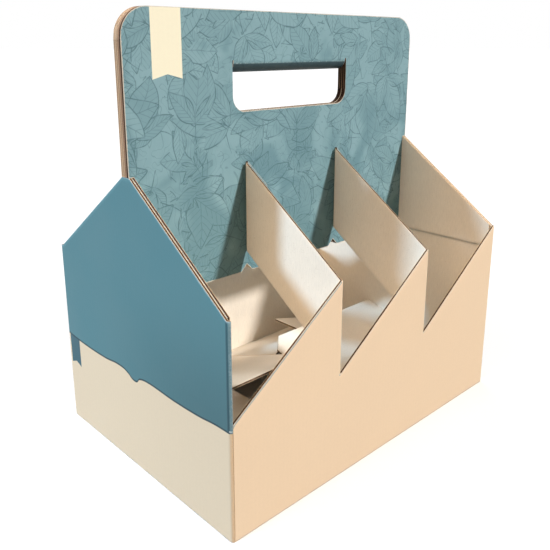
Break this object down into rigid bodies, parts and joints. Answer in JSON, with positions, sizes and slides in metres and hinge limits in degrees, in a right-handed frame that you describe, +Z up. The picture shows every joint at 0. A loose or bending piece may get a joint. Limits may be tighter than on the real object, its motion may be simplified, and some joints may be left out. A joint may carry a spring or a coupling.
{
  "type": "drink carrier",
  "caption": "Corrugated card carrier for bottles or cans: sawtooth walls, dividers rising to a central handle with a hand hole, self-locking bottom flaps.",
  "frame": {"origin": "middle of the rim that the carrier stands on", "axes": "+Z up; +X along the handle; -Y out of the front wall"},
  "size_m": [0.21, 0.145, 0.228],
  "materials": {
    "carrier_board": "matt printed corrugated board, peach walls, blue and cream ends, kraft inside",
    "handle_board": "matt printed corrugated board, teal with a darker leaf line pattern"
  },
  "bodies": {
    "root": {"outer_carrier": "carrier_board", "front_handle_panel": "handle_board", "rear_handle_panel": "handle_board"}
  },
  "joints": []
}
